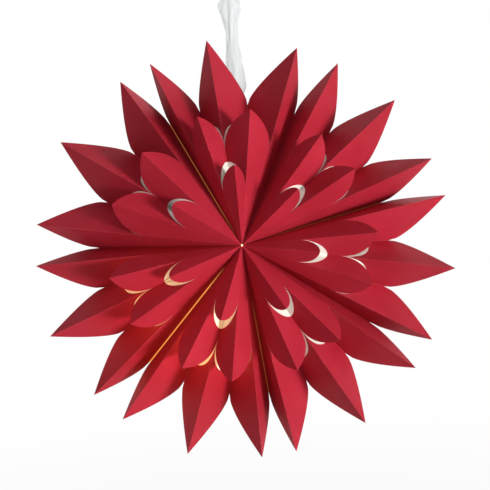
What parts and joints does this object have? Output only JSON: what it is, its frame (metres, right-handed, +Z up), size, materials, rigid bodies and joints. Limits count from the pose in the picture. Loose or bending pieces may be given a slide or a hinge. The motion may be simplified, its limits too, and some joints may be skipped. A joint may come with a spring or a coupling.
{
  "type": "folded paper star lantern",
  "caption": "Hanging lantern in the form of a many-pointed star of folded card petals in nested rows, with a bulb in its hollow, on a flex with a sheer ribbon.",
  "frame": {"origin": "centre of the ceiling cup's flat top face, where the star is hung", "axes": "+Z up along the flex, the front of the star faces -Y, +X to the right seen from the front"},
  "size_m": [0.4524, 0.1992, 0.5575],
  "materials": {
    "star_card": "matt card, red outside and white inside",
    "opal_glass": "opal",
    "nickel_cap": "plated",
    "board": "plain",
    "white_plastic": "moulded",
    "flex_sheath": "smooth",
    "sheer_ribbon": "sheer, gathered"
  },
  "bodies": {
    "root": {"bulb_glass": "opal_glass", "bulb_screw_base": "nickel_cap", "ceiling_cup": "white_plastic", "flex": "flex_sheath", "hanger_bar": "white_plastic", "holder_body": "white_plastic", "holder_cap": "white_plastic", "led_board": "board", "outer_sheet_1": "star_card", "outer_sheet_2": "star_card", "outer_sheet_3": "star_card", "outer_sheet_4": "star_card", "outer_sheet_5": "star_card", "outer_sheet_6": "star_card", "outer_sheet_7": "star_card", "ribbon": "sheer_ribbon", "second_leaf_back_left_1": "star_card", "second_leaf_back_left_2": "star_card", "second_leaf_back_left_3": "star_card", "second_leaf_back_left_4": "star_card", "second_leaf_back_left_5": "star_card", "second_leaf_back_left_6": "star_card", "second_leaf_back_left_7": "star_card", "second_leaf_back_right_1": "star_card", "second_leaf_back_right_2": "star_card", "second_leaf_back_right_3": "star_card", "second_leaf_back_right_4": "star_card", "second_leaf_back_right_5": "star_card", "second_leaf_back_right_6": "star_card", "second_leaf_back_right_7": "star_card", "second_leaf_front_left_1": "star_card", "second_leaf_front_left_2": "star_card", "second_leaf_front_left_3": "star_card", "second_leaf_front_left_4": "star_card", "second_leaf_front_left_5": "star_card", "second_leaf_front_left_6": "star_card", "second_leaf_front_left_7": "star_card", "second_leaf_front_right_1": "star_card", "second_leaf_front_right_2": "star_card", "second_leaf_front_right_3": "star_card", "second_leaf_front_right_4": "star_card", "second_leaf_front_right_5": "star_card", "second_leaf_front_right_6": "star_card", "second_leaf_front_right_7": "star_card", "small_leaf_back_1": "star_card", "small_leaf_back_2": "star_card", "small_leaf_back_3": "star_card", "small_leaf_back_4": "star_card", "small_leaf_back_5": "star_card", "small_leaf_back_6": "star_card", "small_leaf_back_7": "star_card", "small_leaf_front_1": "star_card", "small_leaf_front_2": "star_card", "small_leaf_front_3": "star_card", "small_leaf_front_4": "star_card", "small_leaf_front_5": "star_card", "small_leaf_front_6": "star_card", "small_leaf_front_7": "star_card"}
  },
  "joints": []
}
